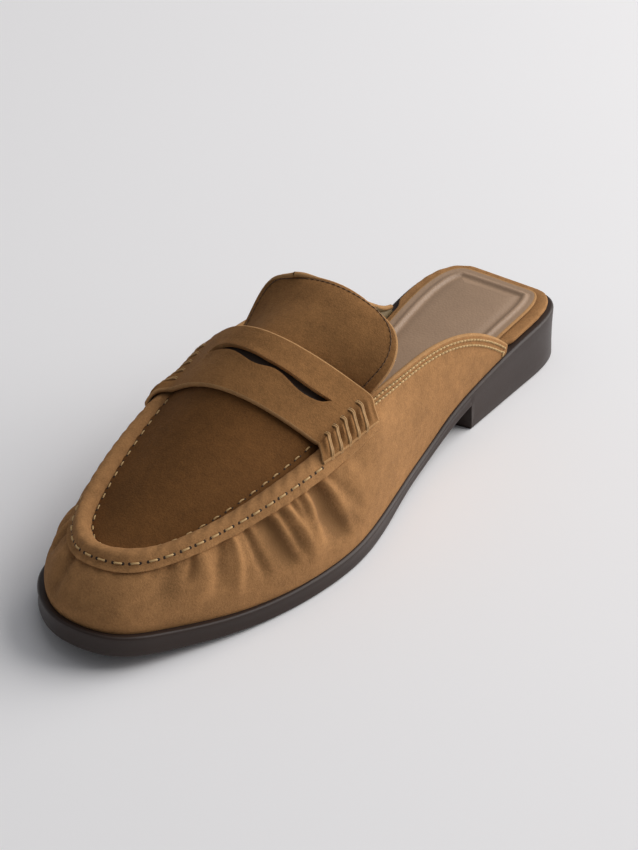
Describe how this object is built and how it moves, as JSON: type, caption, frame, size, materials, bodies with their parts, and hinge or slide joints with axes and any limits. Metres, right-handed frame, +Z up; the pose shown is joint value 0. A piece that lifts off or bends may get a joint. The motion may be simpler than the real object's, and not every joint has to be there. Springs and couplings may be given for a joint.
{
  "type": "loafer mule",
  "caption": "Backless slip-on shoe: suede upper with a raised apron seam, a saddle strap with a slot, a high tongue, a padded footbed and a low heel moulded in one with the sole.",
  "frame": {"origin": "on the floor under the middle of the shoe's box", "axes": "+Z up, -Y toward the toe, +X toward the outer (lateral) side of the left foot"},
  "size_m": [0.0906, 0.2672, 0.0773],
  "materials": {
    "suede": "brushed suede nap, matt",
    "sole": "moulded, satin dark brown",
    "sock_leather": "smooth, low sheen"
  },
  "bodies": {
    "root": {"outsole": "sole", "upper": "suede", "tongue": "suede", "saddle_strap": "suede", "insole": "suede", "sock": "sock_leather"}
  },
  "joints": []
}
